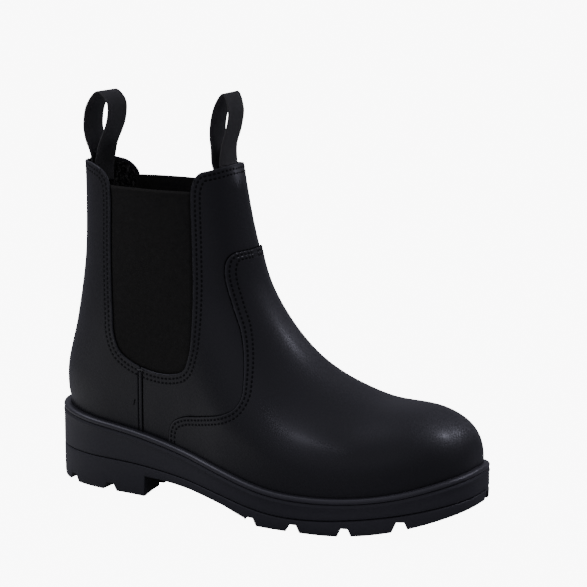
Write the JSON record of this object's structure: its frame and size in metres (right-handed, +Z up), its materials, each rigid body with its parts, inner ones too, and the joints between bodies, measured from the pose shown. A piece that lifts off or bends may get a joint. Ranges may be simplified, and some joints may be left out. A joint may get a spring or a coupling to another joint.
{
  "type": "jodhpur boot",
  "caption": "Right pull-on ankle boot: black leather upper with elastic side gussets, webbing pull loops and a thick lugged rubber sole with heel.",
  "frame": {"origin": "middle of the bounding box's underside, on the floor", "axes": "+X to the toe, +Y to the inner side of the foot, +Z up"},
  "size_m": [0.285, 0.1106, 0.247],
  "materials": {
    "leather": "smooth matte black",
    "elastic": "ribbed black elastic",
    "webbing": "woven black tape",
    "rubber": "matte black moulded rubber",
    "lining": "dark footbed cover"
  },
  "bodies": {
    "root": {"outsole": "rubber", "midsole": "rubber", "welt": "rubber", "insole": "lining", "upper": "leather", "vamp": "leather", "gusset_outer": "elastic", "gusset_inner": "elastic", "pull_loop_back": "webbing", "pull_loop_front": "webbing"}
  },
  "joints": []
}
